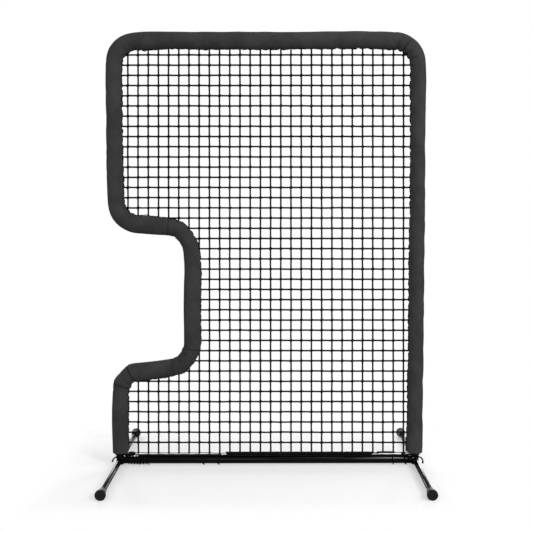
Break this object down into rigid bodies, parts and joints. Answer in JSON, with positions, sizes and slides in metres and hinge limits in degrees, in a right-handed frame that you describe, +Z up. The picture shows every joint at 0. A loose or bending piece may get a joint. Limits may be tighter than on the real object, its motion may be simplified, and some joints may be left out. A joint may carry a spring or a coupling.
{
  "type": "practice screen",
  "caption": "Free-standing padded baseball screen: tube frame with a throwing notch, knotted net, foam sleeves, and cross legs with rubber feet.",
  "frame": {"origin": "on the floor, under the middle of the screen", "axes": "+X along the screen, the notch on the -X side; +Y away from the thrower; +Z up"},
  "size_m": [1.589, 1.044, 2.1545],
  "materials": {
    "frame_steel": "gloss black powder coat",
    "foot_rubber": "matte moulded rubber",
    "button_zinc": "zinc plated",
    "spring_steel": "oiled spring steel",
    "pad_foam": "closed cell foam",
    "pad_cover": "matte coated weave",
    "net_twine": "twisted twine",
    "lacing_rope": "braided cord"
  },
  "bodies": {
    "screen": {"left_lower_upright": "frame_steel", "notch_lower_tube": "frame_steel", "notch_upper_tube": "frame_steel", "top_left_tube": "frame_steel", "top_right_tube": "frame_steel", "right_lower_upright": "frame_steel", "bottom_rail": "frame_steel", "left_base_hub": "frame_steel", "right_base_hub": "frame_steel", "left_leg_tube": "frame_steel", "right_leg_tube": "frame_steel", "left_front_foot": "foot_rubber", "left_rear_foot": "foot_rubber", "right_front_foot": "foot_rubber", "right_rear_foot": "foot_rubber", "left_lower_foam": "pad_foam", "notch_lower_foam": "pad_foam", "notch_upper_foam": "pad_foam", "top_left_foam": "pad_foam", "top_right_foam": "pad_foam", "right_lower_foam": "pad_foam", "left_lower_cover": "pad_cover", "lower_elbow_cover": "pad_cover", "lower_arm_cover": "pad_cover", "lower_bend_cover": "pad_cover", "notch_side_cover": "pad_cover", "upper_left_cover": "pad_cover", "right_cover": "pad_cover", "net_panel": "net_twine", "net_border_rope": "lacing_rope", "net_bottom_rope": "lacing_rope", "rail_lacing_rope": "lacing_rope", "left_cord_tail": "lacing_rope", "right_cord_tail": "lacing_rope", "elbow_spring": "spring_steel", "notch_spring": "spring_steel", "shoulder_spring": "spring_steel", "top_spring": "spring_steel", "right_side_spring": "spring_steel", "left_base_spring": "spring_steel", "right_base_spring": "spring_steel", "left_rail_spring": "spring_steel", "right_rail_spring": "spring_steel"},
    "elbow_button": {"elbow_button": "button_zinc"},
    "notch_button": {"notch_button": "button_zinc"},
    "shoulder_button": {"shoulder_button": "button_zinc"},
    "top_button": {"top_button": "button_zinc"},
    "right_side_button": {"right_side_button": "button_zinc"},
    "left_base_button": {"left_base_button": "button_zinc"},
    "right_base_button": {"right_base_button": "button_zinc"},
    "left_rail_button": {"left_rail_button": "button_zinc"},
    "right_rail_button": {"right_rail_button": "button_zinc"}
  },
  "joints": [
    {"name": "elbow_press", "type": "slide", "parent": "screen", "child": "elbow_button", "axis": [0, -1, 0], "range_m": [0, 0.0062], "stiffness_N_per_m": 1500, "deforming": ["elbow_spring"]},
    {"name": "notch_press", "type": "slide", "parent": "screen", "child": "notch_button", "axis": [0, -1, 0], "range_m": [0, 0.0062], "stiffness_N_per_m": 1500, "deforming": ["notch_spring"]},
    {"name": "shoulder_press", "type": "slide", "parent": "screen", "child": "shoulder_button", "axis": [0, -1, 0], "range_m": [0, 0.0062], "stiffness_N_per_m": 1500, "deforming": ["shoulder_spring"]},
    {"name": "top_press", "type": "slide", "parent": "screen", "child": "top_button", "axis": [0, -1, 0], "range_m": [0, 0.0062], "stiffness_N_per_m": 1500, "deforming": ["top_spring"]},
    {"name": "right_side_press", "type": "slide", "parent": "screen", "child": "right_side_button", "axis": [0, -1, 0], "range_m": [0, 0.0062], "stiffness_N_per_m": 1500, "deforming": ["right_side_spring"]},
    {"name": "left_base_press", "type": "slide", "parent": "screen", "child": "left_base_button", "axis": [0, -1, 0], "range_m": [0, 0.0062], "stiffness_N_per_m": 1500, "deforming": ["left_base_spring"]},
    {"name": "right_base_press", "type": "slide", "parent": "screen", "child": "right_base_button", "axis": [0, -1, 0], "range_m": [0, 0.0062], "stiffness_N_per_m": 1500, "deforming": ["right_base_spring"]},
    {"name": "left_rail_press", "type": "slide", "parent": "screen", "child": "left_rail_button", "axis": [0, -1, 0], "range_m": [0, 0.0062], "stiffness_N_per_m": 1500, "deforming": ["left_rail_spring"]},
    {"name": "right_rail_press", "type": "slide", "parent": "screen", "child": "right_rail_button", "axis": [0, -1, 0], "range_m": [0, 0.0062], "stiffness_N_per_m": 1500, "deforming": ["right_rail_spring"]}
  ]
}
